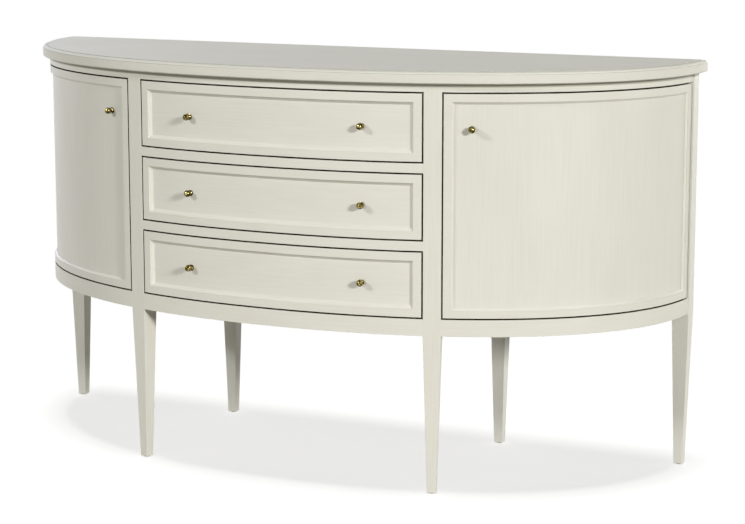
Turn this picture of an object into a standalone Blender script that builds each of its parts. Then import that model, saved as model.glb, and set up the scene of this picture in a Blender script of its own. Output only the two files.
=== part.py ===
"""A half-oval sideboard on six tapered legs, with three drawers between two curved doors.

Metres, +Z up, front towards -Y. The origin is on the floor, under the middle of the outline's box.
A place along the front is a run: the distance along the body's curved face from its middle,
positive to the right. An inset is a distance inwards from that face, square to it.
"""
from bisect import bisect_left
from math import asin, atan2, ceil, copysign, cos, hypot, pi, sin

import bmesh
import bpy
from mathutils import Matrix, Vector

for old in list(bpy.data.objects):
    bpy.data.objects.remove(old, do_unlink=True)

# Plan of the body and the top
width = 1.630
depth = 0.544
top_overhang = 0.016
oval_power_share = 2.16      # how square the half-oval is: 2 is an ellipse
outline_steps = 900          # samples that measure the curve
facets_per_half = 32         # flats that stand for half of the curved face
trials = 8                   # steps that close in on a place behind the face

# Clearances
seat_gap = 0.0003            # between pieces that touch
reveal = 0.0033              # round a door or a drawer front
overrun = 0.005              # by which a cut passes the face it leaves
running_gap = 0.0005         # under a drawer's sides
weld_distance = 0.00003      # under which doubled corners are joined

# Heights of the front, stacked up from the floor
leg_length = 0.3487
apron_height = 0.0368
lower_opening = 0.1466
rail_height = 0.0206
middle_opening = 0.1453
upper_opening = 0.1504
frieze_height = 0.0178
top_thickness = 0.0273

# Legs
leg_size = 0.039
sole_size = 0.020
stile_x = 0.357              # middle of a front leg on the body's face
inner_leg_x = 0.3503
end_leg_proud = 0.002        # beyond the body's widest place

# Boards of the carcass
rail_thickness = 0.020
bottom_thickness = 0.018
partition_thickness = 0.018
dustboard_thickness = 0.012
back_thickness = 0.012
shelf_thickness = 0.018
shelf_height = 0.2300        # from the bottom board to the shelf
shelf_setback = 0.012        # behind the door
cleat_size = 0.018

# Edge of the top, from below: a rounded arris, a flat band, an ovolo and a small step
arris_inset = 0.0065
arris_height = 0.0035
band_height = 0.0165
ovolo_inset = 0.0090
ovolo_height = 0.0058
step_inset = 0.0012
arris_steps = 3
ovolo_steps = 5

# Drawer fronts
front_thickness = 0.020
drawer_frame = 0.018
drawer_moulding = 0.0068
drawer_recess = 0.007

# Drawer boxes
drawer_side_clearance = 0.0015
drawer_side_thickness = 0.012
drawer_side_height = 0.115
drawer_back_thickness = 0.012
drawer_bottom_thickness = 0.006
drawer_bottom_rise = 0.008
drawer_rear_space = 0.014

# Doors
door_thickness = 0.022
door_frame = 0.018
door_moulding = 0.0035
door_recess = 0.0045
moulding_toe = 0.001         # thickness left at the moulding's foot
panel_lap = 0.010            # by which the frame holds the panel's edge
door_panel_thickness = 0.010

# Pivots of the doors
pivot_inset = 0.0045         # from the door's face and from its end
pivot_radius = 0.0020
pivot_clearance = 0.0001     # round a pin in its hole
pivot_depth = 0.012
pivot_sides = 16

# Catches of the doors
catch_x = 0.415
catch_width = 0.036
catch_depth = 0.012
catch_lap = 0.012            # below the top edge of the door

# Knobs
knob_ball_radius = 0.0075
knob_projection = 0.0195     # from the panel to the ball's tip
knob_neck_radius = 0.0034
knob_foot_radius = 0.0068
knob_foot_rim = 0.0016
knob_flare = 0.0034
knob_steps = 14
ball_steps = 6
flare_steps = 3
drawer_knob_x = 0.2060
door_knob_x = 0.4345
door_knob_drop = 0.0742       # from the door's top edge to the knob's middle

# Worked out from the sizes above
back_edge = depth / 2
body_back = back_edge - top_overhang
half_width = width / 2 - top_overhang
body_reach = depth - top_overhang
apron_top = leg_length + apron_height
lower_rail_bottom = apron_top + lower_opening
lower_rail_top = lower_rail_bottom + rail_height
upper_rail_bottom = lower_rail_top + middle_opening
upper_rail_top = upper_rail_bottom + rail_height
frieze_bottom = upper_rail_top + upper_opening
top_underside = frieze_bottom + frieze_height
height = top_underside + top_thickness
leg_front_y = body_back - leg_size
back_leg_y = body_back - leg_size / 2
end_leg_x = half_width + end_leg_proud - leg_size / 2
leg_top = top_underside - seat_gap
panel_front = body_back - back_thickness
lip_back = door_recess + moulding_toe
panel_face = lip_back + seat_gap
panel_margin = door_frame + door_moulding - panel_lap
SIDES = {"left": -1, "right": 1}

collection = bpy.data.collections.new("sideboard")
cutters = bpy.data.collections.new("sideboard_cutters")
for group in (collection, cutters):
    bpy.context.scene.collection.children.link(group)


# Materials
def make_material(name, colour, roughness, metallic=0.0):
    material = bpy.data.materials.new(name)
    material.use_nodes = True
    shader = material.node_tree.nodes["Principled BSDF"]
    shader.inputs["Base Color"].default_value = (*colour, 1.0)
    shader.inputs["Roughness"].default_value = roughness
    shader.inputs["Metallic"].default_value = metallic
    material.diffuse_color = (*colour, 1.0)
    return material


# The plan of the body
def measure_outline():
    """Stations down the right half of the face: run, point and outward normal."""
    stations, run, last = [], 0.0, None
    for step in range(outline_steps + 1):
        turn = pi / 2 * (1 - step / outline_steps)
        across = max(cos(turn), 0.0) ** (2 / oval_power_share)
        along = sin(turn) ** (2 / oval_power_share)
        x, y = half_width * across, back_edge - body_reach * along
        if last:
            run += hypot(x - last[0], y - last[1])
        slope_x = across ** (oval_power_share - 1) / half_width
        slope_y = along ** (oval_power_share - 1) / body_reach
        size = hypot(slope_x, slope_y)
        stations.append((run, x, y, slope_x / size, -slope_y / size))
        last = (x, y)
    return stations


stations = measure_outline()
half_run = stations[-1][0]
facet_run = half_run / facets_per_half


def blend_stations(value, column):
    """The station where a column of the table, which rises or falls steadily, has this value."""
    keys = [station[column] for station in stations]
    place = min(max(bisect_left(keys, value), 1), len(keys) - 1)
    low, high = stations[place - 1], stations[place]
    share = (value - low[column]) / (high[column] - low[column])
    return [a + (b - a) * share for a, b in zip(low, high)]


def face_at(run, inset=0.0):
    """The point of the plan at a run along the face, moved inwards by an inset."""
    station = blend_stations(abs(run), 0)
    x = station[1] - station[3] * inset
    y = station[2] - station[4] * inset
    return Vector((copysign(x, run), y))


def turn_at(run):
    """How far the face is turned about +Z there, from facing -Y."""
    station = blend_stations(abs(run), 0)
    return copysign(atan2(station[3], -station[4]), run)


def run_at_x(x):
    return copysign(blend_stations(abs(x), 1)[0], x)


def run_at_y(y):
    """The run on the right half where the face reaches this y."""
    return blend_stations(y, 2)[0]


def run_behind(x, inset):
    """The run whose point, moved inwards by the inset, lies at this x."""
    run = run_at_x(x)
    for _ in range(trials):
        run = run_at_x(x + sin(turn_at(run)) * inset)
    return run


def shared_cuts(start, stop):
    """Runs of the flats' edges that all fixed pieces share, between two places."""
    runs = [index * facet_run for index in range(-facets_per_half, facets_per_half + 1)]
    return [run for run in runs if start + seat_gap < run < stop - seat_gap]


def even_cuts(start, stop, margin):
    """Evenly spaced runs between two places, from one margin to the other."""
    first, last = start + margin, stop - margin
    count = ceil((last - first) / facet_run)
    return [first + (last - first) * index / count for index in range(count + 1)]


# Places along the face: the front legs, the partitions in line with them and the end legs
stile_run = run_at_x(stile_x)
stile_turn = turn_at(stile_run)
front_leg = face_at(stile_run, leg_size / 2)
leg_corner_x = front_leg.x - leg_size / 2 * (cos(stile_turn) + sin(stile_turn))
end_face_run = run_at_y(leg_front_y)
partition_inner = leg_corner_x
partition_outer = partition_inner + partition_thickness


# Objects
def add_mesh(name, bm, material, group=None):
    mesh = bpy.data.meshes.new(name)
    bm.to_mesh(mesh)
    bm.free()
    mesh.materials.append(material)
    item = bpy.data.objects.new(name, mesh)
    (group or collection).objects.link(item)
    return item


def add_box(name, low, high, material):
    """A box between two corners, with its origin at its middle."""
    low, high = Vector(low), Vector(high)
    bm = bmesh.new()
    bmesh.ops.create_cube(bm, size=1.0, matrix=Matrix.Diagonal((*(high - low), 1.0)))
    item = add_mesh(name, bm, material)
    item.location = (low + high) / 2
    return item


def add_board(name, outline, low, high, material):
    """A flat board: a filled outline in plan, between two heights."""
    curve = bpy.data.curves.new(name, "CURVE")
    curve.dimensions = "2D"
    curve.fill_mode = "BOTH"
    curve.extrude = (high - low) / 2
    spline = curve.splines.new("POLY")
    spline.points.add(len(outline) - 1)
    for point, (x, y) in zip(spline.points, outline):
        point.co = (x, y, 0.0, 1.0)
    spline.use_cyclic_u = True
    curve.materials.append(material)
    item = bpy.data.objects.new(name, curve)
    item.location.z = (low + high) / 2
    collection.objects.link(item)
    return item


def solidify_curve(item):
    """Turns a board into a welded mesh under the same name, so that it can be cut."""
    bpy.context.view_layer.update()
    graph = bpy.context.evaluated_depsgraph_get()
    mesh = bpy.data.meshes.new_from_object(item.evaluated_get(graph))
    bm = bmesh.new()
    bm.from_mesh(mesh)
    bmesh.ops.remove_doubles(bm, verts=bm.verts, dist=weld_distance)
    bmesh.ops.recalc_face_normals(bm, faces=bm.faces)
    bm.to_mesh(mesh)
    bm.free()
    name, place = item.name, item.matrix_world.copy()
    curve = item.data
    bpy.data.objects.remove(item)
    bpy.data.curves.remove(curve)
    mesh.name = name
    solid = bpy.data.objects.new(name, mesh)
    solid.matrix_world = place
    collection.objects.link(solid)
    return solid


def cut(item, cutter):
    modifier = item.modifiers.new(cutter.name, "BOOLEAN")
    modifier.operation = "DIFFERENCE"
    modifier.solver = "EXACT"
    modifier.object = cutter


def gather(name, place, pieces):
    """An empty on a joint's axis that carries the pieces which move together."""
    empty = bpy.data.objects.new(name, None)
    empty.location = place
    empty.empty_display_size = leg_size
    collection.objects.link(empty)
    for piece in pieces:
        piece.parent = empty
        piece.matrix_parent_inverse = Matrix.Translation(place).inverted()


def hide_cutter(item):
    item.hide_render = True
    item.display_type = "WIRE"
    return item


# Slabs that are shaped flat, as run, inset and height, and then bent to the face
def flat_slab(start, stop, low, high, outer, inner, cuts):
    bm = bmesh.new()
    size = Vector((stop - start, inner - outer, high - low))
    middle = Vector(((start + stop) / 2, (outer + inner) / 2, (low + high) / 2))
    bmesh.ops.create_cube(bm, size=1.0, matrix=Matrix.Translation(middle) @ Matrix.Diagonal((*size, 1.0)))
    for run in cuts:
        everything = bm.verts[:] + bm.edges[:] + bm.faces[:]
        bmesh.ops.bisect_plane(bm, geom=everything, plane_co=(run, 0, 0), plane_no=(1, 0, 0))
    return bm


def faces_towards(bm, direction):
    bm.normal_update()
    return [face for face in bm.faces if face.normal.dot(Vector(direction)) > 0.99]


def draw_in(bm, faces, margin, drop=0.0):
    """Insets a field of faces and sinks it by a drop."""
    bmesh.ops.inset_region(bm, faces=faces, thickness=margin, depth=-drop,
                           use_boundary=True, use_even_offset=True)


def bend(bm, rear=half_width):
    """Bends a slab to the face. No corner goes further back than the rear."""
    for vertex in bm.verts:
        run, inset, z = vertex.co
        x, y = face_at(run, inset)
        vertex.co = (x, min(y, rear), z)


def add_curved_rail(name, start, stop, low, high, leg_cutters):
    bm = flat_slab(start, stop, low, high, 0.0, rail_thickness, shared_cuts(start, stop))
    bend(bm)
    rail = add_mesh(name, bm, painted)
    for cutter in leg_cutters:
        cut(rail, cutter)
    return rail


def face_line(start, stop, inset, cuts):
    """The points of a board's curved edge."""
    return [face_at(run, inset) for run in [start, *cuts, stop]]


def squared_line(start, stop, inset, rear):
    """The points of a board's curved edge, squared off where it comes to the board's rear edge."""
    line = face_line(start, stop, inset, shared_cuts(start, stop))
    return [*[point for point in line if point.y < rear - overrun], Vector((line[-1].x, rear))]


# Legs
def add_leg(name, x, y, turn):
    """A square post down to the apron's foot, then a taper to the sole on all four sides."""
    bm = bmesh.new()
    bmesh.ops.create_cube(bm, size=1.0, matrix=Matrix.Diagonal((leg_size, leg_size, leg_top, 1.0)))
    bmesh.ops.translate(bm, verts=bm.verts, vec=(0, 0, leg_top / 2))
    everything = bm.verts[:] + bm.edges[:] + bm.faces[:]
    bmesh.ops.bisect_plane(bm, geom=everything, plane_co=(0, 0, leg_length), plane_no=(0, 0, 1))
    soles = [vertex for vertex in bm.verts if vertex.co.z < leg_length / 2]
    sole_share = sole_size / leg_size
    bmesh.ops.scale(bm, verts=soles, vec=(sole_share, sole_share, 1.0))
    leg = add_mesh(name, bm, painted)
    leg.location = (x, y, 0.0)
    leg.rotation_euler.z = turn
    return leg


def add_leg_cutter(name, x, y, turn, outward):
    """The room that a leg needs in the boards round it. It passes the leg on its outward side."""
    room = leg_size / 2 + seat_gap
    low = Vector((-room, -room, leg_length - overrun))
    high = Vector((room, room, height))
    for axis in (0, 1):
        if outward[axis] > 0:
            high[axis] += overrun
        if outward[axis] < 0:
            low[axis] -= overrun
    bm = bmesh.new()
    place = Matrix.Translation((low + high) / 2) @ Matrix.Diagonal((*(high - low), 1.0))
    bmesh.ops.create_cube(bm, size=1.0, matrix=place)
    cutter = add_mesh(name, bm, painted, cutters)
    cutter.location = (x, y, 0.0)
    cutter.rotation_euler.z = turn
    return hide_cutter(cutter)


def add_legs():
    """The six legs and the cutter of each."""
    places = {}
    for side, sign in SIDES.items():
        turn = sign * stile_turn
        places["front_leg_" + side] = (sign * front_leg.x, front_leg.y, turn, (0, -1))
        places["back_leg_" + side] = (sign * inner_leg_x, back_leg_y, 0.0, (0, 1))
        places["end_leg_" + side] = (sign * end_leg_x, back_leg_y, 0.0, (sign, 1))
    found = {}
    for name, (x, y, turn, outward) in places.items():
        add_leg(name, x, y, turn)
        found[name] = add_leg_cutter(name + "_room", x, y, turn, outward)
    return found


# The top
def top_profile():
    """Inset from the rim and height above the underside, from below to above."""
    points = []
    for step in range(arris_steps + 1):
        turn = pi / 2 * step / arris_steps
        points.append((arris_inset * (1 - sin(turn)), arris_height * (1 - cos(turn))))
    band_top = arris_height + band_height
    for step in range(ovolo_steps + 1):
        turn = pi / 2 * step / ovolo_steps
        points.append((ovolo_inset * (1 - cos(turn)), band_top + ovolo_height * sin(turn)))
    shoulder = ovolo_inset + step_inset
    points.append((shoulder, band_top + ovolo_height))
    points.append((shoulder, top_thickness))
    return points


def add_top():
    """A loft of one outline after another, each drawn in from the rim by the edge's profile."""
    cuts = shared_cuts(-half_run, half_run)
    bm = bmesh.new()
    rings = []
    for inset, rise in top_profile():
        line = face_line(-half_run, half_run, inset - top_overhang, cuts)
        rings.append([bm.verts.new((x, y, top_underside + rise)) for x, y in line])
    bm.faces.new(reversed(rings[0]))
    bm.faces.new(rings[-1])
    for lower, upper in zip(rings, rings[1:]):
        for index, (left, left_above) in enumerate(zip(lower, upper)):
            after = (index + 1) % len(lower)
            bm.faces.new((left, lower[after], upper[after], left_above))
    return add_mesh("top_panel", bm, painted)


# The carcass
def add_rails(legs):
    """Aprons and frieze rails in three lengths, and the two rails between the drawers."""
    reach = end_face_run + overrun
    lengths = {
        "left": (-reach, -stile_run, [legs["end_leg_left"], legs["front_leg_left"]]),
        "centre": (-stile_run, stile_run, [legs["front_leg_left"], legs["front_leg_right"]]),
        "right": (stile_run, reach, [legs["front_leg_right"], legs["end_leg_right"]]),
    }
    found = {}
    for length, (start, stop, rooms) in lengths.items():
        for kind, low, high in (("apron_", leg_length, apron_top), ("top_rail_", frieze_bottom, leg_top)):
            found[kind + length] = add_curved_rail(kind + length, start, stop, low, high, rooms)
    start, stop, rooms = lengths["centre"]
    for name, low in (("drawer_rail_lower", lower_rail_bottom), ("drawer_rail_upper", upper_rail_bottom)):
        add_curved_rail(name, start, stop, low, low + rail_height, rooms)
    return found


def add_bottom(legs):
    inset = rail_thickness + seat_gap
    rear = panel_front - seat_gap
    reach = run_at_y(rear)
    right = squared_line(0.0, reach, inset, rear)
    outline = [*[(-x, y) for x, y in reversed(right[1:])], *right]
    low = apron_top - bottom_thickness
    board = solidify_curve(add_board("bottom_panel", outline, low, apron_top, painted))
    for cutter in legs.values():
        cut(board, cutter)


def add_dustboards(legs):
    """Boards behind the drawer rails, level with them, on which the drawers run."""
    inset = rail_thickness + seat_gap
    half = partition_inner - seat_gap
    rear = panel_front - seat_gap
    reach = run_behind(half, inset)
    front = face_line(-reach, reach, inset, shared_cuts(-reach, reach))
    outline = [(-half, rear), *front, (half, rear)]
    for name, level in (("dustboard_lower", lower_rail_top), ("dustboard_upper", upper_rail_top)):
        board = solidify_curve(add_board(name, outline, level - dustboard_thickness, level, drawer_wood))
        for side in SIDES:
            cut(board, legs["front_leg_" + side])


def add_partitions():
    """Upright boards from the front legs to the inner back legs. Their front ends follow the legs."""
    rear = leg_front_y - seat_gap
    for side, sign in SIDES.items():
        outline = []
        for x in (partition_inner, partition_outer):
            behind = (leg_size / 2 + seat_gap + (x - front_leg.x) * sin(stile_turn)) / cos(stile_turn)
            outline.append((sign * x, front_leg.y + behind))
        outline += [(sign * partition_outer, rear), (sign * partition_inner, rear)]
        add_board("partition_" + side, outline, apron_top + seat_gap, leg_top, painted)


def add_back_panels():
    inner = inner_leg_x - leg_size / 2 - seat_gap
    outer_start = inner_leg_x + leg_size / 2 + seat_gap
    outer_stop = end_leg_x - leg_size / 2 - seat_gap
    spans = {
        "left": (-outer_stop, -outer_start),
        "centre": (-inner, inner),
        "right": (outer_start, outer_stop),
    }
    for place, (start, stop) in spans.items():
        add_box("back_panel_" + place, (start, panel_front, leg_length), (stop, body_back, leg_top), painted)


def add_shelves(legs):
    """A shelf behind each door, on a cleat along the back panel."""
    inset = door_thickness + shelf_setback
    low = apron_top + shelf_height
    rear = panel_front - seat_gap
    inner = partition_outer + seat_gap
    leg_room = leg_size / 2 + seat_gap
    start, stop = run_behind(inner, inset), run_at_y(rear)
    line = squared_line(start, stop, inset, rear)
    cleat_top = low - seat_gap
    for side, sign in SIDES.items():
        outline = [(sign * x, y) for x, y in [(inner, rear), *line]]
        shelf = solidify_curve(add_board("shelf_" + side, outline, low, low + shelf_thickness, drawer_wood))
        for leg in ("front_leg_", "back_leg_", "end_leg_"):
            cut(shelf, legs[leg + side])
        ends = sorted((sign * (inner_leg_x + leg_room), sign * (end_leg_x - leg_room)))
        add_box("shelf_cleat_" + side, (ends[0], rear - cleat_size, cleat_top - cleat_size),
                (ends[1], rear, cleat_top), drawer_wood)


# Knobs
def knob_profile():
    """Radius and height of a knob's side, from the ball's tip down to its foot."""
    middle = knob_projection - knob_ball_radius
    below = asin(knob_neck_radius / knob_ball_radius) - pi / 2
    points = []
    for step in range(ball_steps + 1):
        turn = pi / 2 + (below - pi / 2) * step / ball_steps
        points.append((knob_ball_radius * cos(turn), middle + knob_ball_radius * sin(turn)))
    spread = knob_foot_radius - knob_neck_radius
    for step in range(flare_steps + 1):
        turn = pi / 2 * step / flare_steps
        points.append((knob_neck_radius + spread * (1 - cos(turn)),
                       knob_foot_rim + knob_flare * (1 - sin(turn))))
    points.append((knob_foot_radius, 0.0))
    return [(0.0, knob_projection), *points[1:], (0.0, 0.0)]


def make_knob_mesh():
    bm = bmesh.new()
    line = [bm.verts.new((radius, 0.0, rise)) for radius, rise in knob_profile()]
    for upper, lower in zip(line, line[1:]):
        bm.edges.new((upper, lower))
    mesh = bpy.data.meshes.new("knob")
    bm.to_mesh(mesh)
    bm.free()
    mesh.materials.append(antique_brass)
    return mesh


def add_knob(name, run, z, inset):
    """A turned knob, its foot on the panel and its axis square to the face."""
    knob = bpy.data.objects.new(name, knob_mesh)
    collection.objects.link(knob)
    turning = knob.modifiers.new("turning", "SCREW")
    turning.steps = turning.render_steps = knob_steps
    turning.use_merge_vertices = True
    turning.merge_threshold = weld_distance
    turning.use_smooth_shade = True
    knob.location = (*face_at(run, inset - seat_gap), z)
    knob.rotation_euler = (pi / 2, 0.0, turn_at(run))
    return knob


# Drawers
def add_drawer(name, level, opening):
    """A box behind a curved front. Its sides run on the board below, at this level."""
    low, high = level + reveal, level + opening - reveal
    end = stile_run - leg_size / 2 - reveal
    cuts = even_cuts(-end, end, drawer_frame + drawer_moulding + seat_gap)
    bm = flat_slab(-end, end, low, high, 0.0, front_thickness, cuts)
    field = faces_towards(bm, (0, -1, 0))
    draw_in(bm, field, drawer_frame)
    draw_in(bm, field, drawer_moulding, drawer_recess)
    bend(bm)
    pieces = [add_mesh(name + "_front", bm, painted)]

    side_low = level + running_gap
    side_high = side_low + drawer_side_height
    rear = panel_front - drawer_rear_space
    behind = front_thickness + seat_gap
    outer = leg_corner_x - drawer_side_clearance
    inner = outer - drawer_side_thickness
    for side, sign in SIDES.items():
        front_ends = [(sign * x, face_at(run_behind(x, behind), behind).y) for x in (outer, inner)]
        outline = [*front_ends, (sign * inner, rear), (sign * outer, rear)]
        pieces.append(add_board(f"{name}_side_{side}", outline, side_low, side_high, drawer_wood))

    half = inner - seat_gap
    reach = run_behind(half, behind)
    inside = [run for run in cuts if -reach < run < reach]
    bottom_low = side_low + drawer_bottom_rise
    bottom_high = bottom_low + drawer_bottom_thickness
    outline = [(-half, rear), *face_line(-reach, reach, behind, inside), (half, rear)]
    pieces.append(add_board(name + "_bottom", outline, bottom_low, bottom_high, drawer_wood))
    back_low = (-half, rear - drawer_back_thickness, bottom_high + seat_gap)
    pieces.append(add_box(name + "_back", back_low, (half, rear, side_high), drawer_wood))
    for side, sign in SIDES.items():
        run = sign * run_at_x(drawer_knob_x)
        pieces.append(add_knob(f"{name}_knob_{side}", run, (low + high) / 2, drawer_recess))
    gather(name, Vector((0.0, face_at(0.0).y, (low + high) / 2)), pieces)


# Doors
def add_door_frame(name, start, stop, low, high, cuts):
    """A curved frame with a moulding round its window, rebated behind for the panel."""
    bm = flat_slab(start, stop, low, high, 0.0, door_thickness, cuts)
    window = faces_towards(bm, (0, -1, 0))
    draw_in(bm, window, door_frame)
    draw_in(bm, window, door_moulding, door_recess)
    rebate = faces_towards(bm, (0, 1, 0))
    draw_in(bm, rebate, panel_margin)
    walls = bmesh.ops.extrude_face_region(bm, geom=rebate)
    bmesh.ops.delete(bm, geom=rebate, context="FACES_ONLY")
    floor = [item for item in walls["geom"] if isinstance(item, bmesh.types.BMFace)]
    corners = [item for item in walls["geom"] if isinstance(item, bmesh.types.BMVert)]
    bmesh.ops.translate(bm, verts=corners, vec=(0, lip_back - door_thickness, 0))
    draw_in(bm, floor, panel_lap)
    bmesh.ops.delete(bm, geom=window + floor, context="FACES")
    rims = [edge for edge in bm.edges if edge.is_boundary]
    bmesh.ops.bridge_loops(bm, edges=rims)
    bmesh.ops.recalc_face_normals(bm, faces=bm.faces)
    bend(bm, leg_front_y - reveal)
    return add_mesh(name, bm, painted)


def add_pin(name, place, low, high, radius, material, group=None):
    bm = bmesh.new()
    bmesh.ops.create_cone(bm, cap_ends=True, segments=pivot_sides, radius1=radius, radius2=radius,
                          depth=high - low)
    pin = add_mesh(name, bm, material, group)
    pin.location = (*place, (low + high) / 2)
    return pin


def add_pivots(name, place, low, high, rails, frame):
    """A pin into the rail above the door and one into the rail below, with their holes."""
    pins = []
    for which, edge, way in (("lower", low, -1), ("upper", high, 1)):
        middle = edge + way * reveal / 2
        reach = reveal / 2 + pivot_depth
        hole = add_pin(f"{name}_{which}_hole", place, middle - reach, middle + reach,
                       pivot_radius + pivot_clearance, steel, cutters)
        hide_cutter(hole)
        cut(frame, hole)
        cut(rails[which], hole)
        reach -= seat_gap
        pins.append(add_pin(f"{name}_pivot_{which}", place, middle - reach, middle + reach,
                            pivot_radius, steel))
    return pins


def add_door(side, sign, rails):
    """A framed door that turns on a pin above and a pin below, at its outer end."""
    start = stile_run + leg_size / 2 + reveal
    stop = run_at_y(leg_front_y - reveal)
    low, high = apron_top + reveal, frieze_bottom - reveal
    cuts = [sign * run for run in even_cuts(start, stop, door_frame + door_moulding + seat_gap)]
    name = "door_" + side
    left, right = sorted((sign * start, sign * stop))
    frame = add_door_frame(name + "_frame", left, right, low, high, cuts)

    margin = panel_margin + seat_gap
    left, right = left + margin, right - margin
    inside = [run for run in cuts if left < run < right]
    panel_back = panel_face + door_panel_thickness
    bm = flat_slab(left, right, low + margin, high - margin, panel_face, panel_back, inside)
    bend(bm)
    panel = add_mesh(name + "_panel", bm, painted)
    knob = add_knob(name + "_knob", sign * run_at_x(door_knob_x), high - door_knob_drop, panel_face)

    pivot = face_at(sign * (stop - pivot_inset), pivot_inset)
    facing = {"lower": rails["apron_" + side], "upper": rails["top_rail_" + side]}
    pins = add_pivots(name, pivot, low, high, facing, frame)
    gather(name, Vector((*pivot, low)), [frame, panel, knob, *pins])


def add_catches():
    """A block under the top behind each door, which the door shuts against."""
    middle = run_at_x(catch_x)
    front = door_thickness + seat_gap
    door_top = frieze_bottom - reveal
    for side, sign in SIDES.items():
        left, right = sorted((sign * (middle - catch_width / 2), sign * (middle + catch_width / 2)))
        bm = flat_slab(left, right, door_top - catch_lap, leg_top, front, front + catch_depth, [])
        bend(bm)
        add_mesh("door_catch_" + side, bm, steel)


painted = make_material("painted_wood", (0.74, 0.72, 0.64), 0.45)
drawer_wood = make_material("drawer_wood", (0.56, 0.42, 0.28), 0.60)
antique_brass = make_material("antique_brass", (0.36, 0.26, 0.13), 0.35, 1.0)
steel = make_material("steel", (0.55, 0.55, 0.56), 0.35, 1.0)
knob_mesh = make_knob_mesh()

leg_rooms = add_legs()
add_top()
fixed_rails = add_rails(leg_rooms)
add_bottom(leg_rooms)
add_dustboards(leg_rooms)
add_partitions()
add_back_panels()
add_shelves(leg_rooms)
add_drawer("drawer_lower", apron_top, lower_opening)
add_drawer("drawer_middle", lower_rail_top, middle_opening)
add_drawer("drawer_upper", upper_rail_top, upper_opening)
for side, sign in SIDES.items():
    add_door(side, sign, fixed_rails)
add_catches()
print("height", round(height, 4), "pieces", len(collection.objects))
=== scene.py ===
# %% [markdown]
# # A half-oval painted sideboard
# The cabinet stands on six tapered legs. Three drawers with bowed fronts sit between two
# curved doors, and a thin top with a moulded edge covers it all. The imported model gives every
# size and every moving body. This lesson dresses that model: each visible board is made again
# with a finer curve, softened edges and a proper finish, and rides on the body it belongs to.

# %% Load the frame
from math import asin, cos, pi, radians, sin

import bmesh
import bpy
import numpy as np
from mathutils import Matrix, Vector


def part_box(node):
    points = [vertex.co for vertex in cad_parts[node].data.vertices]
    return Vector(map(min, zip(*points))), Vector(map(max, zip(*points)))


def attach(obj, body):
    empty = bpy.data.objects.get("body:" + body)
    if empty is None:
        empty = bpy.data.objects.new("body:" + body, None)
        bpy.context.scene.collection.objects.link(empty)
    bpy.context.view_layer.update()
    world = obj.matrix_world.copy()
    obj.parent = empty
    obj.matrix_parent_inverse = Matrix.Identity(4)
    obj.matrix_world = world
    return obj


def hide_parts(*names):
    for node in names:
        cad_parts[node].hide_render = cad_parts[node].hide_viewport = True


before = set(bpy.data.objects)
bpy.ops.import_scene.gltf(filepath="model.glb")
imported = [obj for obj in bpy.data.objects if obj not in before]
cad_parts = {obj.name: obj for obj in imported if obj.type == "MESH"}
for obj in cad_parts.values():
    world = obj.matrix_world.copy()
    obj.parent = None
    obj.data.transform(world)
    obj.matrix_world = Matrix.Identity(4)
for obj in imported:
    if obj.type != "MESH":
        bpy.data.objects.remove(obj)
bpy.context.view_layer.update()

# %% [markdown]
# ## Sizes
# Heights and the outline come from the frame's own boards, so the lesson follows the model.
# Small sizes that belong to the joiner's hand, such as the softening of an edge, are named here.
# All are in metres.

# %% Sizes read from the frame
top_low, top_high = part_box("top_panel")
apron_low, apron_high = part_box("apron_centre")[0].z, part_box("apron_centre")[1].z
leg_low, leg_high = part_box("end_leg_right")
leg_size = leg_high.x - leg_low.x
back_y = top_high.y
body_back = leg_high.y
top_overhang = back_y - body_back
half_width = top_high.x - top_overhang
body_reach = back_y - top_low.y - top_overhang
print(f"top {2 * top_high.x:.3f} wide and {back_y - top_low.y:.3f} deep, at {top_high.z:.3f}")

# %% Sizes of the joiner's hand
oval_power = 2.16         # how square the half-oval is: 2 is an ellipse
stile_x = 0.357           # middle of a front leg on the face
seat_gap = 0.0003         # air between pieces that touch
reveal = 0.0033           # gap round each door and drawer
edge_softening = 0.0005
slice_length = 0.0065     # flats that stand for the curved face
print(f"a gap of {reveal * 1000:.1f} mm round each door and drawer")

# %% [markdown]
# ## The curve of the face
# In plan the body is half of a squared oval. A place on it is given as a run, the distance
# along the face from its middle, and an inset, the distance inwards from the face. A board is
# first made flat in run, inset and height, as a joiner draws it, and then bent to the curve,
# as one laminates it. Measuring the curve once in small steps turns a run into a point.

# %% Measure the face
face_samples = 4001
steps = np.linspace(-pi / 2, pi / 2, face_samples)
across, along = np.sin(steps), np.cos(steps).clip(0)
face_x = half_width * np.sign(across) * np.abs(across) ** (2 / oval_power)
face_y = back_y - body_reach * along ** (2 / oval_power)
face_run = np.concatenate([[0], np.cumsum(np.hypot(np.diff(face_x), np.diff(face_y)))])
face_run -= face_run[-1] / 2
slope_x = np.sign(face_x) * np.abs(face_x / half_width) ** (oval_power - 1) / half_width
slope_y = ((back_y - face_y) / body_reach) ** (oval_power - 1) / body_reach
face_turn = np.arctan2(slope_x, slope_y)
half_run = face_run[-1]


def face_points(run, inset):
    """Points of the plan at a run along the face, moved inwards by an inset."""
    turn = np.interp(run, face_run, face_turn)
    x = np.interp(run, face_run, face_x) - np.sin(turn) * inset
    y = np.interp(run, face_run, face_y) + np.cos(turn) * inset
    return x, y


def turn_at(run):
    return float(np.interp(run, face_run, face_turn))


def run_at_x(x):
    return float(np.interp(x, face_x, face_run))


def run_at_y(y):
    """The run on the right half where the face reaches this y."""
    half = face_run >= 0
    return float(np.interp(y, face_y[half], face_run[half]))


stile_run = run_at_x(stile_x)
stile_turn = turn_at(stile_run)
leg_front_y = body_back - leg_size
end_run = run_at_y(leg_front_y)
print(f"the face is {2 * half_run:.3f} m round; front legs turn {stile_turn * 180 / pi:.1f} degrees")

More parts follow.
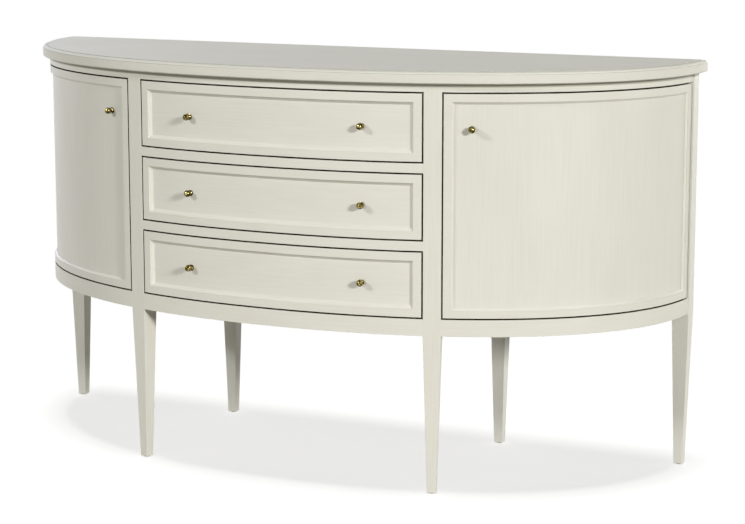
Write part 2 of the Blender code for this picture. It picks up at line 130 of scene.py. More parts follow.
# %% [markdown]
# ## Shader maths in plain Python
# A pattern is easiest to read as a sum. The small class below wraps a socket, so that adding
# or multiplying two of them adds the Math node that does it. Every other node comes from one
# method, which takes the node's type, its settings and the values or links of its sockets.


# %% Sums of sockets
class Wire:
    """A socket's value, in sums that add Math nodes."""

    def __init__(self, tree, socket):
        self.tree, self.socket = tree, socket

    def maths(self, operation, first, second):
        return self.tree.node("ShaderNodeMath", {"operation": operation}, {0: first, 1: second})

    def __add__(self, other):
        return self.maths("ADD", self, other)

    def __mul__(self, other):
        return self.maths("MULTIPLY", self, other)

    def __rsub__(self, other):
        return self.maths("SUBTRACT", other, self)

    def __sub__(self, other):
        return self.maths("SUBTRACT", self, other)

    __radd__, __rmul__ = __add__, __mul__


print("ready: sums of sockets")


# %% A node tree
class Shading:
    """A node tree, of a material or of the sky."""

    def __init__(self, owner):
        owner.use_nodes = True
        self.nodes, self.links = owner.node_tree.nodes, owner.node_tree.links

    def node(self, kind, settings=None, values=None, output=0):
        made = self.nodes.new(kind)
        for name, value in (settings or {}).items():
            if name == "stops":
                self.set_stops(made.color_ramp, value)
            else:
                setattr(made, name, value)
        for name, value in (values or {}).items():
            self.feed(made.inputs[name], value)
        return Wire(self, made.outputs[output])

    def set_stops(self, ramp, stops):
        while len(ramp.elements) < len(stops):
            ramp.elements.new(1.0)
        for element, (place, colour) in zip(ramp.elements, stops):
            element.position, element.color = place, (*colour, 1.0)

    def feed(self, socket, value):
        if isinstance(value, Wire):
            self.links.new(value.socket, socket)
        else:
            socket.default_value = value

    def places(self, kind, stretch):
        """Where on the piece the shader is, with each axis stretched to the pattern's scale."""
        origin = self.node("ShaderNodeTexCoord", output=kind)
        return self.node("ShaderNodeMapping", {}, {"Vector": origin, "Scale": stretch})

    def noise(self, places, detail, roughness=0.55):
        values = {"Vector": places, "Scale": 1.0, "Detail": detail, "Roughness": roughness}
        return self.node("ShaderNodeTexNoise", {}, values)

    def blend(self, share, first, second):
        """A colour between two, by a share. Sockets 6 and 7 and output 2 are the node's colours."""
        values = {0: share, 6: first, 7: second}
        return self.node("ShaderNodeMix", {"data_type": "RGBA"}, values, output=2)

    def bump(self, rise, distance):
        return self.node("ShaderNodeBump", {}, {"Height": rise, "Distance": distance})

    def surface(self, kind, shader):
        """Ends the tree in an output node of this kind."""
        self.feed(self.nodes.new(kind).inputs["Surface"], shader)

    def seen_plainly(self):
        """1 for what the camera sees, also by way of metal or glass, and 0 for light on a piece."""
        rays = [self.node("ShaderNodeLightPath", output=f"Is {kind} Ray")
                for kind in ("Camera", "Glossy", "Transmission")]
        return rays[0] + rays[1] + rays[2]


print("ready: node trees")


# %% A finish
class Finish(Shading):
    """A material, with its shader's constants set on the shader's own sockets."""

    def __init__(self, name, **constants):
        self.material = bpy.data.materials.new(name)
        super().__init__(self.material)
        self.shader = self.nodes["Principled BSDF"]
        for socket, value in constants.items():
            self.shader.inputs[socket.replace("_", " ")].default_value = value

    def set(self, **wires):
        for socket, wire in wires.items():
            self.feed(self.shader.inputs[socket.replace("_", " ")], wire)
        return self.material


print("ready: finishes")

# %% [markdown]
# ## Painted wood
# The cabinet is painted a pale warm ivory with a satin sheen. Close to, brushed paint is never
# one flat colour: long faint strokes follow the board, broad clouds of slightly thicker paint
# lie across it, and fine ridges catch the light. The strokes are noise stretched along one
# axis, so the same finish is made for boards along the face, for upright posts and panels, and
# for the level top. Shade is painted into the colour in two places: the risers in the fine
# creases of the top's rim take a darker copy of the paint as painted shade, and the last few
# millimetres of the face below the top's overhang take a dark band as a painted shadow of the
# overhang. Each piece sits at the origin, so the third Object coordinate is simply the height
# above the floor.


# %% Painted wood
# Painted shadow of the top's overhang: a dark band in the paint just below the top.
painted_shadow_depth = 0.0085    # the dark band reaches this far below the underside of the top
painted_shadow_fade = 0.0030
painted_shadow_tint = (0.33, 0.315, 0.25, 1.0)


def paint_overhang_shadow(paint, colour):
    """The colour, with a painted shadow of the top's overhang on what stands close below the top."""
    places = paint.places("Object", (1, 1, 1))
    height = paint.node("ShaderNodeSeparateXYZ", {}, {"Vector": places}, output="Z")
    above = {0: height - (top_low.z - painted_shadow_depth), 1: 1 / painted_shadow_fade}
    share = paint.node("ShaderNodeMath", {"operation": "MULTIPLY", "use_clamp": True}, above)
    return paint.blend(share, colour, painted_shadow_tint)


def make_paint(name, kind, stroke, cloud, tones=1.0, flatness=0.38, shadow_below_top=True):
    paint = Finish(name, IOR=1.46)
    strokes = paint.noise(paint.places(kind, stroke), detail=4.0)
    clouds = paint.noise(paint.places(kind, cloud), detail=2.0)
    ridges = paint.noise(paint.places(kind, [size * 3 for size in stroke]), detail=2.0)
    tone = strokes * 0.6 + clouds * 0.4
    stops = [(0.32, (0.710, 0.694, 0.602)), (0.50, (0.733, 0.718, 0.632)), (0.68, (0.755, 0.742, 0.662))]
    stops = [(place, [part * tones for part in colour]) for place, colour in stops]
    colour = paint.node("ShaderNodeValToRGB", {"stops": stops}, {0: tone})
    # The painted shadow of the top's overhang, for boards and posts that stand below it.
    if shadow_below_top:
        colour = paint_overhang_shadow(paint, colour)
    roughness = strokes * 0.10 + flatness
    relief = paint.bump(ridges + strokes, distance=0.00002)
    return paint.set(Base_Color=colour, Roughness=roughness, Normal=relief)


paint_along = make_paint("paint_along_the_face", "UV", stroke=(9, 260, 1), cloud=(7, 16, 1))
paint_upright = make_paint("paint_upright", "UV", stroke=(210, 5, 1), cloud=(14, 5, 1))
paint_post = make_paint("paint_post", "Object", stroke=(260, 260, 9), cloud=(20, 20, 6))
paint_level = make_paint("paint_level", "Object", stroke=(6, 230, 230), cloud=(5, 9, 9),
                         flatness=0.55, shadow_below_top=False)
# Painted shade: a darker copy of the paint for the risers in the top's rim, standing in for the shade in
# those creases.
paint_crease_shade = make_paint("painted_crease_shade", "Object", stroke=(60, 60, 60), cloud=(9, 9, 9),
                          tones=0.56, flatness=0.60, shadow_below_top=False)
print("five painted finishes")

# %% [markdown]
# ## Drawer wood, metals, nylon and painted gap shade
# The boxes, shelves and dust boards are plain waxed hardwood: straight grain is noise drawn
# out along the board and sharpened by a ramp. The knobs are brass, left to darken: the tone
# runs from bright metal to brown in small clouds, and the dark parts are rougher. Pins and
# catches are drawn steel, and the glides under the legs are dark felted nylon. The edges of
# boards that face a gap are painted a near-black brown as painted shade for the inside of the
# gap, so that every gap shows as one fine dark line.


# %% Wood, brass, steel and nylon
def make_wood(name, stretch):
    wood = Finish(name, IOR=1.45)
    places = wood.places("Object", stretch)
    grain = wood.noise(places, detail=6.0, roughness=0.62)
    pores = wood.noise(wood.places("Object", [size * 6 for size in stretch]), detail=2.0)
    stops = [(0.28, (0.330, 0.205, 0.105)), (0.52, (0.545, 0.385, 0.225)), (0.74, (0.640, 0.480, 0.305))]
    colour = wood.node("ShaderNodeValToRGB", {"stops": stops}, {0: grain * 0.8 + pores * 0.2})
    relief = wood.bump(grain + pores, distance=0.00015)
    return wood.set(Base_Color=colour, Roughness=pores * 0.2 + 0.45, Normal=relief)


wood_lengthwise = make_wood("hardwood_front_to_back", (70, 4, 70))
wood_crosswise = make_wood("hardwood_side_to_side", (4, 70, 70))


def make_brass():
    brass = Finish("darkened_brass", Metallic=1.0)
    tarnish = brass.noise(brass.places("Object", (190, 190, 190)), detail=3.0)
    stops = [(0.36, (0.014, 0.009, 0.002)), (0.50, (0.086, 0.065, 0.014)), (0.64, (0.500, 0.400, 0.160))]
    colour = brass.node("ShaderNodeValToRGB", {"stops": stops}, {0: tarnish})
    relief = brass.bump(tarnish, distance=0.00001)
    return brass.set(Base_Color=colour, Roughness=0.17 - tarnish * 0.10, Normal=relief)


def make_steel():
    steel = Finish("drawn_steel", Metallic=1.0)
    draw_marks = steel.noise(steel.places("Object", (900, 900, 40)), detail=3.0)
    colour = steel.blend(draw_marks, (0.36, 0.36, 0.37, 1), (0.62, 0.62, 0.63, 1))
    relief = steel.bump(draw_marks, distance=0.00003)
    return steel.set(Base_Color=colour, Roughness=draw_marks * 0.25 + 0.25, Normal=relief)


def make_nylon():
    nylon = Finish("dark_nylon")
    nap = nylon.noise(nylon.places("Object", (1400, 1400, 1400)), detail=3.0)
    colour = nylon.blend(nap, (0.055, 0.052, 0.048, 1), (0.120, 0.112, 0.100, 1))
    relief = nylon.bump(nap, distance=0.0001)
    return nylon.set(Base_Color=colour, Roughness=nap * 0.2 + 0.6, Normal=relief)


# Painted gap shade: a near-black brown for the edges inside the gaps, standing in for the shade there.
def make_gap_shade():
    gap_shade = Finish("painted_gap_shade", Specular_IOR_Level=0.02)
    grain = gap_shade.noise(gap_shade.places("Object", (60, 60, 60)), detail=5.0)
    colour = gap_shade.blend(grain, (0.036, 0.024, 0.002, 1), (0.080, 0.054, 0.010, 1))
    relief = gap_shade.bump(grain, distance=0.0001)
    return gap_shade.set(Base_Color=colour, Roughness=grain * 0.2 + 0.6, Normal=relief)


# The last of these is the painted gap shade.
brass, steel, nylon, gap_shade = make_brass(), make_steel(), make_nylon(), make_gap_shade()
print("two woods, brass, steel, nylon and stain")

# %% [markdown]
# ## Boards made flat and then bent
# Each curved board starts as a block whose axes are run, inset and height. Bevelling its
# corners, drawing in its front and cutting its mouldings are simple while it is flat. Cutting
# planes then slice it into short lengths, and every point moves to its place on the curve.
# The flat places are kept as a UV map first, so the paint's strokes follow the bend.


# %% A flat block with softened edges
def flat_block(left, right, outer, inner, low, high):
    """A block in run, inset and height, with its edges softened."""
    bm = bmesh.new()
    size = Vector((right - left, inner - outer, high - low))
    middle = Vector((right + left, inner + outer, high + low)) / 2
    place = Matrix.Translation(middle) @ Matrix.Diagonal((*size, 1.0))
    bmesh.ops.create_cube(bm, size=1.0, matrix=place)
    soften(bm, bm.edges[:])
    return bm


def soften(bm, edges, width=edge_softening, segments=2):
    bmesh.ops.bevel(bm, geom=edges, offset=width, offset_type="OFFSET", segments=segments, profile=0.5,
                    affect="EDGES", material=-1)


print("ready: flat blocks")

# %% Faces of a flat board
looks_along = 0.99                  # cosine from which a face counts as looking along an axis
first_finish, second_finish = 0, 1  # places of a piece's finishes in its list of materials
run_axis, height_axis = 0, 2
outwards, inwards = Vector((0, -1, 0)), Vector((0, 1, 0))
upwards, downwards = Vector((0, 0, 1)), Vector((0, 0, -1))


def shade_gap_edges(bm, axis, above=0.0):
    """Faces across an axis and above a height take the painted gap shade. Softened corners stay painted.
    """
    bm.normal_update()
    for face in bm.faces:
        if abs(face.normal[axis]) > looks_along and face.calc_center_median().z > above:
            face.material_index = second_finish


def widest_face(bm, direction):
    """The largest face that looks this way."""
    bm.normal_update()
    facing = [face for face in bm.faces if face.normal.dot(direction) > looks_along]
    return max(facing, key=lambda face: face.calc_area())


def draw_in(bm, face, margin, drop=0.0, finish=first_finish):
    """Draws a face in by a margin and sinks it by a drop. The new rim takes the finish."""
    made = bmesh.ops.inset_region(bm, faces=[face], thickness=margin, depth=-drop, use_boundary=True,
                                  use_even_offset=True)
    for rim in made["faces"]:
        rim.material_index = finish


# The stained edges here are painted gap shade.
print("ready: shade_painted edges and drawn-in faces")


# %% Bending a flat board
def slice_up(bm, left, right):
    """Cuts the board across into short lengths, so that it can bend."""
    count = round((right - left) / slice_length)
    for index in range(1, count):
        everything = bm.verts[:] + bm.edges[:] + bm.faces[:]
        place = (left + (right - left) * index / count, 0, 0)
        bmesh.ops.bisect_plane(bm, geom=everything, plane_co=place, plane_no=(1, 0, 0))


def keep_flat_places(bm):
    """Run and height, both in metres, become the UV map. The inset is added for faces seen on edge."""
    layer = bm.loops.layers.uv.new("flat")
    for face in bm.faces:
        for loop in face.loops:
            run, inset, z = loop.vert.co
            loop[layer].uv = (run + inset, z + inset)


def bend(bm, rear):
    """Moves every point to the curve. None goes further back than the rear."""
    flat = np.array([vertex.co for vertex in bm.verts])
    x, y = face_points(flat[:, 0], flat[:, 1])
    for vertex, new_x, new_y in zip(bm.verts, x, y):
        vertex.co = (new_x, min(new_y, rear), vertex.co.z)


print(f"ready: bends in lengths of {slice_length * 1000:.1f} mm")


# %% Finished pieces
def finish_piece(name, bm, finish, body, nodes, sharp=radians(32), second=None):
    """Makes the object with one or two finishes, rides it on its body and lets it stand for its nodes."""
    bmesh.ops.recalc_face_normals(bm, faces=bm.faces)
    mesh = bpy.data.meshes.new(name)
    bm.to_mesh(mesh)
    bm.free()
    mesh.materials.append(finish)
    if second:
        mesh.materials.append(second)
    mesh.shade_smooth()
    mesh.set_sharp_from_angle(angle=sharp)
    piece = bpy.data.objects.new(name, mesh)
    bpy.context.scene.collection.objects.link(piece)
    flat_faces = piece.modifiers.new("flat faces stay flat", "WEIGHTED_NORMAL")
    flat_faces.keep_sharp = True
    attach(piece, body)
    if nodes:
        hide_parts(*nodes)
    return piece


def bent_piece(name, bm, left, right, finish, body, nodes, rear=back_y, second=gap_shade):
    """Bends a flat board that runs from left to right, and finishes it, with the painted gap shade as its
    second finish unless told otherwise.
    """
    slice_up(bm, left, right)
    keep_flat_places(bm)
    bend(bm, rear)
    return finish_piece(name, bm, finish, body, nodes, second=second)


print("ready: finished pieces")

# %% [markdown]
# ## Rails and aprons
# The face frame is made of curved rails between the legs: a narrow frieze under the top, two
# rails between the drawers and an apron below. Each runs from leg to leg and its ends are let
# into the legs a little, as a tenon's shoulder would be, so no gap shows at the joint.

# %% Rails and aprons
rail_thickness = 0.020
shoulder = 0.0004         # how far a rail's end goes into a leg
leg_edge_run = leg_size / 2 - shoulder
spans = {
    "left": (-end_run - shoulder, -stile_run - leg_edge_run),
    "centre": (-stile_run + leg_edge_run, stile_run - leg_edge_run),
    "right": (stile_run + leg_edge_run, end_run + shoulder),
}
rails = {"top_rail_" + place: span for place, span in spans.items()}
rails.update({"apron_" + place: span for place, span in spans.items()})
rails.update({"drawer_rail_" + level: spans["centre"] for level in ("lower", "upper")})
for node, (left, right) in rails.items():
    low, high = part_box(node)
    bm = flat_block(left, right, 0.0, rail_thickness, low.z, high.z)
    # Painted gap shade on the rails' upper and lower faces, except the apron's underside.
    shade_gap_edges(bm, height_axis, above=apron_low + reveal)
    bent_piece("curved_" + node, bm, left, right, paint_along, "case", [node],
               rear=leg_front_y + shoulder)
print(len(rails), "curved rails")

# %% [markdown]
# ## Legs
# A leg is one square length from the top down to the floor. Above it serves as the stile
# between door and drawers. Below the apron it tapers on all four sides to a small foot. A
# block cut at the apron's foot, with its lower end scaled down, gives that, and a small bevel
# takes the sharpness off its corners. Each stands on a thin dark glide.

# %% Legs and glides
sole_size = 0.020         # a leg's width at the floor
leg_softening = 0.0009
square_corner = radians(45)
glide_height = 0.0015
glide_radius = sole_size * 0.42
glide_taper, glide_sides = 0.94, 32
front_x, front_y = (float(value) for value in face_points(stile_run, leg_size / 2))
inner_x = sum(corner.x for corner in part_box("back_leg_right")) / 2
end_x = (leg_low.x + leg_high.x) / 2
rear_y = body_back - leg_size / 2


def leg_places():
    """Each leg's node, middle in plan and turn."""
    for side, sign in (("left", -1), ("right", 1)):
        yield "front_leg_" + side, sign * front_x, front_y, sign * stile_turn
        yield "back_leg_" + side, sign * inner_x, rear_y, 0.0
        yield "end_leg_" + side, sign * end_x, rear_y, 0.0


def make_leg(node, x, y, turn):
    bm = bmesh.new()
    tall = leg_high.z - glide_height
    bmesh.ops.create_cube(bm, size=1.0, matrix=Matrix.Diagonal((leg_size, leg_size, tall, 1.0)))
    bmesh.ops.translate(bm, verts=bm.verts, vec=(0, 0, glide_height + tall / 2))
    everything = bm.verts[:] + bm.edges[:] + bm.faces[:]
    bmesh.ops.bisect_plane(bm, geom=everything, plane_co=(0, 0, apron_low), plane_no=(0, 0, 1))
    foot = [vertex for vertex in bm.verts if vertex.co.z < apron_low / 2]
    foot_share = sole_size / leg_size
    bmesh.ops.scale(bm, verts=foot, vec=(foot_share, foot_share, 1.0))
    corners = [edge for edge in bm.edges if edge.calc_face_angle() > square_corner]
    soften(bm, corners, leg_softening, segments=3)
    # Painted gap shade on the sides of the front legs that face the doors and drawers.
    faces_gaps = node.startswith("front")
    if faces_gaps:
        shade_gap_edges(bm, run_axis, above=apron_high)
    place = Matrix.Translation((x, y, 0)) @ Matrix.Rotation(turn, 4, "Z")
    bmesh.ops.transform(bm, matrix=place, verts=bm.verts)
    finish_piece("tapered_" + node, bm, paint_post, "case", [node],
                 second=gap_shade if faces_gaps else None)


glides = bmesh.new()
glide_low = seat_gap / 2
for node, x, y, turn in leg_places():
    make_leg(node, x, y, turn)
    place = Matrix.Translation((x, y, (glide_low + glide_height) / 2))
    bmesh.ops.create_cone(glides, cap_ends=True, segments=glide_sides, matrix=place,
                          radius1=glide_radius * glide_taper, radius2=glide_radius,
                          depth=glide_height - glide_low)
finish_piece("foot_glides", glides, nylon, "case", [])
print("six legs on glides")

# %% [markdown]
# ## The top
# The top is a half-oval board with a flat back edge. Its rim is moulded: rounded under, then a
# flat band, then a quarter round between two small steps. The steps' risers are creases,
# painted darker as painted shade. A circle cut in half and squared a little gives the outline.
# From its flat band, the face above and the face below are drawn in again and again, each time
# a little further in and on, so that the steps follow a quarter circle.

# %% The top
arris_inset, arris_height, arris_steps = 0.0065, 0.0035, 6    # the rounding under the rim
band_height = 0.0165
ledge, first_riser = 0.0010, 0.0009
ovolo_inset, ovolo_height, ovolo_steps = 0.0090, 0.0058, 8    # the quarter round, with the first riser
step_inset = 0.0012
riser_lean = 1 / 8        # how far a riser leans inwards for its height
outline_sides = 720
close_points = 0.0003     # points of the outline that are nearer than this become one
corner_straight = 0.018   # without short sides here, the drawn-in outline keeps its corners
top_thickness = top_high.z - top_low.z


def half_oval(bm, reach_x, reach_y, z):
    """A face with the outline of the top, from a circle cut in half."""
    bmesh.ops.create_circle(bm, cap_ends=True, segments=outline_sides, radius=1.0)
    everything = bm.verts[:] + bm.edges[:] + bm.faces[:]
    bmesh.ops.bisect_plane(bm, geom=everything, plane_co=(0, 0, 0), plane_no=(0, 1, 0), clear_outer=True)
    power = 2 / oval_power
    for vertex in bm.verts:
        x, y = vertex.co.x, max(-vertex.co.y, 0.0)
        sign = 1 if x > 0 else -1
        vertex.co = (sign * reach_x * abs(x) ** power, back_y - reach_y * y ** power, z)
    bmesh.ops.remove_doubles(bm, verts=bm.verts, dist=close_points)
    near_corner = [vertex for vertex in bm.verts if close_points < back_y - vertex.co.y < corner_straight]
    bmesh.ops.dissolve_verts(bm, verts=near_corner)


def quarter_steps(bm, face, inset, rise, count):
    """Draws a face in and on along a quarter circle, steep at first, in even steps of its angle."""
    done = (0.0, 0.0)
    for index in range(1, count + 1):
        turn = pi / 2 * index / count
        here = (inset * (1 - cos(turn)), rise * sin(turn))
        draw_in(bm, face, here[0] - done[0], done[1] - here[1])
        done = here


def make_top():
    bm = bmesh.new()
    half_oval(bm, top_high.x, back_y - top_low.y, top_low.z + arris_height)
    grown = bmesh.ops.extrude_face_region(bm, geom=bm.faces[:])
    lifted = [item for item in grown["geom"] if isinstance(item, bmesh.types.BMVert)]
    bmesh.ops.translate(bm, verts=lifted, vec=(0, 0, band_height))
    bmesh.ops.recalc_face_normals(bm, faces=bm.faces)
    above = widest_face(bm, upwards)
    draw_in(bm, above, ledge)
    # This riser takes the painted crease shade.
    draw_in(bm, above, first_riser * riser_lean, -first_riser, second_finish)
    round_inset = ovolo_inset - ledge - first_riser * riser_lean
    quarter_steps(bm, above, round_inset, ovolo_height - first_riser, ovolo_steps)
    draw_in(bm, above, step_inset)
    last_rise = top_thickness - arris_height - band_height - ovolo_height
    chamfer = last_rise / 4
    # This riser takes the painted crease shade too.
    draw_in(bm, above, last_rise * riser_lean, chamfer - last_rise, second_finish)
    draw_in(bm, above, chamfer, -chamfer)
    below = widest_face(bm, downwards)
    quarter_steps(bm, below, arris_inset, arris_height, arris_steps)
    return finish_piece("moulded_top", bm, paint_level, "case", ["top_panel"],
                        sharp=radians(50), second=paint_crease_shade)


moulded_top = make_top()
print("top with", len(moulded_top.data.polygons), "faces")

# %% [markdown]
# ## Mouldings
# Round each drawer's field and each door's panel runs a small moulding. A short lip drops
# straight from the frame and a plain slope runs down to the sunk field. Light from the right
# leaves the slopes above and on the right in shade and catches those below and on the left. The
# front of the flat board is drawn in three times, for the frame, the lip and the slope, which
# gives clean mitres at the corners.

# %% A moulding round a sunk field
lip = 0.0016
lip_lean = 0.0002


def sink_field(bm, face, margin, width, depth):
    """Frames a face, cuts the moulding round it and leaves the face sunk."""
    draw_in(bm, face, margin - edge_softening)
    draw_in(bm, face, lip_lean, lip)
    draw_in(bm, face, width - lip_lean, depth - lip)


print(f"each moulding starts with a lip of {lip * 1000:.1f} mm")

# %% [markdown]
# ## Knobs
# Each knob is turned from one piece of brass: a ball on a thin neck that flares to a round
# foot. Half of its outline, drawn on one side of an axis and spun round it, is the whole knob.
# The ends of the outline lie on the axis, so the poles close when doubled points are merged.

# %% Knobs
knob_projection = 0.0195
ball_radius, ball_steps = 0.0075, 18
neck_radius = 0.0034
flare, flare_steps = 0.0036, 8
foot_radius = 0.0068
foot_rim, rim_steps = 0.0014, 4
rim_rounding = foot_rim / 3
turning_steps = 48
pole_width = 0.00002      # points nearer than this become one


def knob_outline():
    """Radius and distance from the panel, from the ball's tip to the foot."""
    middle = knob_projection - ball_radius
    last = asin(neck_radius / ball_radius) - pi / 2
    for index in range(ball_steps + 1):
        turn = pi / 2 + (last - pi / 2) * index / ball_steps
        yield ball_radius * cos(turn), middle + ball_radius * sin(turn)
    for index in range(flare_steps + 1):
        turn = pi / 2 * index / flare_steps
        spread = (foot_radius - neck_radius) * (1 - cos(turn))
        yield neck_radius + spread, foot_rim + flare * (1 - sin(turn))
    for index in range(1, rim_steps + 1):
        turn = pi / 2 * index / rim_steps
        yield foot_radius - rim_rounding * (1 - cos(turn)), foot_rim * (1 - sin(turn))
    yield 0.0, 0.0


def make_knob(node, body, run, inset):
    """A knob at a run along the face, on a field that lies this far inwards."""
    bm = bmesh.new()
    line = [bm.verts.new((radius, 0.0, rise)) for radius, rise in knob_outline()]
    edges = [bm.edges.new(pair) for pair in zip(line, line[1:])]
    bmesh.ops.spin(bm, geom=line + edges, axis=(0, 0, 1), cent=(0, 0, 0), angle=2 * pi,
                   steps=turning_steps, use_merge=True)
    bmesh.ops.remove_doubles(bm, verts=bm.verts, dist=pole_width)
    x, y = (float(value) for value in face_points(run, inset - seat_gap))
    low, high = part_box(node)
    place = Matrix.Translation((x, y, (low.z + high.z) / 2)) @ Matrix.Rotation(turn_at(run), 4, "Z")
    bmesh.ops.transform(bm, matrix=place @ Matrix.Rotation(pi / 2, 4, "X"), verts=bm.verts)
    finish_piece("turned_" + node, bm, brass, body, [node], sharp=radians(60))


print(f"each knob stands {knob_projection * 1000:.1f} mm out from its field")

# %% [markdown]
# ## Drawer fronts
# Three bowed fronts fill the middle bay with an even gap all round. Each is one thick board
# with a sunk field, and two knobs stand on the field at mid height.

# %% Drawer fronts and their knobs
front_thickness = 0.020
drawer_frame, drawer_moulding, drawer_recess = 0.018, 0.0068, 0.007
drawer_knob_x = 0.206
drawer_end = stile_run - leg_size / 2 - reveal
for level in ("lower", "middle", "upper"):
    node = f"drawer_{level}_front"
    low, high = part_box(node)
    bm = flat_block(-drawer_end, drawer_end, 0.0, front_thickness, low.z, high.z)
    # Painted gap shade on all four edges of the front.
    shade_gap_edges(bm, run_axis)
    shade_gap_edges(bm, height_axis)
    sink_field(bm, widest_face(bm, outwards), drawer_frame, drawer_moulding, drawer_recess)
    bent_piece("bowed_" + node, bm, -drawer_end, drawer_end, paint_along, "drawer_" + level, [node])
    for side, sign in (("left", -1), ("right", 1)):
        run = sign * run_at_x(drawer_knob_x)
        make_knob(f"drawer_{level}_knob_{side}", "drawer_" + level, run, drawer_recess)
print(f"three drawer fronts, each {2 * drawer_end:.3f} m round")

# %% [markdown]
# ## Doors
# A door is a curved frame round a thin curved panel. The panel sits in a rebate cut from
# behind, so the frame's moulding overlaps its edge. In the flat, the front gets its sunk field
# and the back gets its rebate. Removing the two innermost faces and bridging their rims opens
# the window. No part of a door is bent further back than the gap in front of the end leg.

# %% Doors and their knobs
door_thickness = 0.022
door_frame, door_moulding, door_recess = 0.018, 0.0035, 0.0045
slope_width = 0.0045      # it starts a little outside the moulding of the model
moulding_toe = 0.001      # the moulding's thickness where it meets the panel
panel_lap = 0.010         # how far the moulding overlaps the panel's edge
panel_thickness = 0.010
rebate_lean = seat_gap / 10
door_knob_x = 0.4345
panel_outer = door_recess + moulding_toe
panel_margin = door_frame + door_moulding - panel_lap


def make_door_frame(left, right, low, high):
    """A flat frame with a moulded window, rebated behind."""
    bm = flat_block(left, right, 0.0, door_thickness, low, high)
    # Painted gap shade on all four outer edges of the frame.
    shade_gap_edges(bm, run_axis)
    shade_gap_edges(bm, height_axis)
    field = widest_face(bm, outwards)
    sink_field(bm, field, door_frame + door_moulding - slope_width, slope_width, door_recess)
    rebate = widest_face(bm, inwards)
    draw_in(bm, rebate, panel_margin - edge_softening)
    draw_in(bm, rebate, rebate_lean, door_thickness - panel_outer)
    draw_in(bm, rebate, panel_lap - rebate_lean)
    bmesh.ops.delete(bm, geom=[field, rebate], context="FACES")
    bmesh.ops.bridge_loops(bm, edges=[edge for edge in bm.edges if edge.is_boundary])
    return bm


near, far = stile_run + leg_size / 2 + reveal, run_at_y(leg_front_y - reveal)
for side, sign in (("left", -1), ("right", 1)):
    body = "door_" + side
    low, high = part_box(body + "_frame")
    left, right = sorted((sign * near, sign * far))
    bm = make_door_frame(left, right, low.z, high.z)
    bent_piece("curved_" + body + "_frame", bm, left, right, paint_along, body, [body + "_frame"],
               rear=leg_front_y - reveal)
    low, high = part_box(body + "_panel")
    left, right = left + panel_margin + seat_gap, right - panel_margin - seat_gap
    outer = panel_outer + seat_gap
    bm = flat_block(left, right, outer, outer + panel_thickness, low.z, high.z)
    bent_piece("curved_" + body + "_panel", bm, left, right, paint_upright, body, [body + "_panel"],
               second=None)
    make_knob(body + "_knob", body, sign * run_at_x(door_knob_x), outer)
print(f"two doors, each {far - near:.3f} m round")

# %% [markdown]
# ## Boards that stay as they are
# Flat boards inside and behind already have their real shape in the model. They keep it and
# only get a finish: paint on the back, the partitions and the bottom, waxed wood on the drawer
# boxes, the shelves and the dust boards, with the grain along each board, and steel on the
# doors' pins and catches.

# %% Finishes of the carried-over boards
shown_again = {
    paint_level: ("bottom_panel",),
    paint_post: ("back_panel_left", "back_panel_centre", "back_panel_right", "partition_left",
                 "partition_right"),
    wood_crosswise: ("dustboard_upper", "dustboard_lower", "shelf_left", "shelf_right",
                     "shelf_cleat_left", "shelf_cleat_right"),
    steel: ("door_catch_left", "door_catch_right"),
}
finishes = {node: finish for finish, nodes in shown_again.items() for node in nodes}
for level in ("lower", "middle", "upper"):
    finishes.update({f"drawer_{level}_side_{side}": wood_lengthwise for side in ("left", "right")})
    finishes.update({f"drawer_{level}_{board}": wood_crosswise for board in ("back", "bottom")})
for side in ("left", "right"):
    finishes.update({f"door_{side}_pivot_{place}": steel for place in ("upper", "lower")})
for node, finish in finishes.items():
    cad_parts[node].data.materials.clear()
    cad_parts[node].data.materials.append(finish)
print(len(finishes), "boards and pins keep their shape")

# %% [markdown]
# ## Floor and light
# The knobs' shadows in the photograph tell where the lamps stand: a strong one low on the
# right, with a weak wide one beside it, and a weaker one in front on the left. One straight in
# front is so low that it reaches under the cabinet to the legs at the back. A wide cool one
# behind on the left and another one behind light the ends and the back. The ground is white,
# with one pale shadow straight below the cabinet. So those lamps leave the floor alone, and one
# lamp high above lights nothing but the floor, which throws a little warm light back up. Part
# of the floor's shade is plain white to the camera, which keeps that shadow pale, and metal
# sees the same white. The sky is white to both as well, but gives next to no light.

# %% Floor
floor_reach = 30.0
floor_whiteness, white_strength = 0.35, 2.20
bounce_tint, seen_tint = (0.44, 0.415, 0.34, 1.0), (0.86, 0.86, 0.86, 1.0)


def make_floor():
    bm = bmesh.new()
    bmesh.ops.create_grid(bm, x_segments=1, y_segments=1, size=floor_reach)
    mesh = bpy.data.meshes.new("floor")
    bm.to_mesh(mesh)
    bm.free()
    material = bpy.data.materials.new("white_ground")
    ground = Shading(material)
    ground.nodes.clear()
    seen = ground.seen_plainly()
    tint = ground.blend(seen, bounce_tint, seen_tint)
    lit = ground.node("ShaderNodeBsdfDiffuse", {}, {"Color": tint})
    plain = ground.node("ShaderNodeEmission", {}, {"Color": (1, 1, 1, 1), "Strength": white_strength})
    mixed = ground.node("ShaderNodeMixShader", {}, {0: seen * floor_whiteness, 1: lit, 2: plain})
    ground.surface("ShaderNodeOutputMaterial", mixed)
    mesh.materials.append(material)
    floor = bpy.data.objects.new("floor", mesh)
    bpy.context.scene.collection.objects.link(floor)
    return floor


floor = make_floor()
print(f"white ground, {2 * floor_reach:.0f} m wide")

# %% Lamps
lamps = {
    "key": dict(azimuth=62, elevation=18, strength=2.44, softness=9),
    "right": dict(azimuth=80, elevation=9, strength=0.12, softness=20),
    "front": dict(azimuth=-41, elevation=26, strength=1.19, softness=6, tint=(0.98, 0.98, 1.0)),
    "middle": dict(azimuth=-6, elevation=5, strength=0.55, softness=12),
    "left": dict(azimuth=-127, elevation=11, strength=1.22, softness=42, tint=(0.76, 0.80, 1.0)),
    "behind": dict(azimuth=162, elevation=5, strength=1.10, softness=30, tint=(1.0, 0.98, 0.94)),
    "ground": dict(azimuth=0, elevation=88, strength=1.25, softness=9, floor_state="INCLUDE"),
}


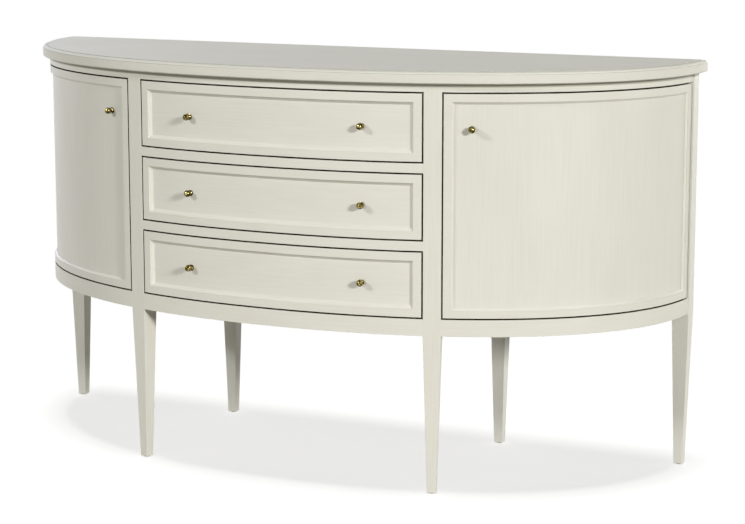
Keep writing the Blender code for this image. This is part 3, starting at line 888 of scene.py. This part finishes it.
def make_lamp(name, azimuth, elevation, strength, softness, tint=(1.0, 1.0, 1.0), floor_state="EXCLUDE"):
    """A lamp far away, angles in degrees. Azimuth 0 is straight in front and positive to the right.
    The floor is either left out of its light or the only thing in it."""
    lamp = bpy.data.lights.new(name, "SUN")
    lamp.energy, lamp.angle, lamp.color = strength, radians(softness), tint
    item = bpy.data.objects.new(name, lamp)
    side, up = radians(azimuth), radians(elevation)
    towards = Vector((sin(side) * cos(up), -cos(side) * cos(up), sin(up)))
    item.rotation_euler = towards.to_track_quat("Z", "Y").to_euler()
    bpy.context.scene.collection.objects.link(item)
    linked = bpy.data.collections.new(name + "_and_floor")
    linked.objects.link(floor)
    linked.collection_objects[0].light_linking.link_state = floor_state
    item.light_linking.receiver_collection = linked


for name, settings in lamps.items():
    make_lamp(name, **settings)
print(len(lamps), "lamps")

# %% Sky
sky_light, sky_tint = 0.03, (1.0, 0.95, 0.82, 1.0)
world = bpy.data.worlds.new("sky")
bpy.context.scene.world = world
sky = Shading(world)
sky.nodes.clear()
pale = sky.node("ShaderNodeBackground", {}, {"Color": sky_tint, "Strength": sky_light})
white = sky.node("ShaderNodeBackground", {}, {"Color": (1, 1, 1, 1), "Strength": 1.0})
mixed = sky.node("ShaderNodeMixShader", {}, {0: sky.seen_plainly(), 1: pale, 2: white})
sky.surface("ShaderNodeOutputWorld", mixed)
bpy.context.scene.view_settings.view_transform = "Standard"
print("a white sky that gives next to no light")

# %% [markdown]
# ## Camera
# The camera stands to the right of the middle, a little above the top, and looks slightly
# down. Its place, turn and lens were found by matching the outlines, legs and gaps of the
# model with those in the photograph.

# %% Camera
camera_place = (1.9326, -4.1423, 1.3234)
camera_turn, camera_dip = radians(23.538), radians(9.211)
camera = bpy.data.cameras.new("camera")
camera.lens = 98.79
camera.shift_y = -0.08
viewer = bpy.data.objects.new("camera", camera)
viewer.location = camera_place
viewer.rotation_euler = (pi / 2 - camera_dip, 0.0, camera_turn)
bpy.context.scene.collection.objects.link(viewer)
bpy.context.scene.camera = viewer
print("camera looks along", tuple(round(value, 3) for value in viewer.rotation_euler))
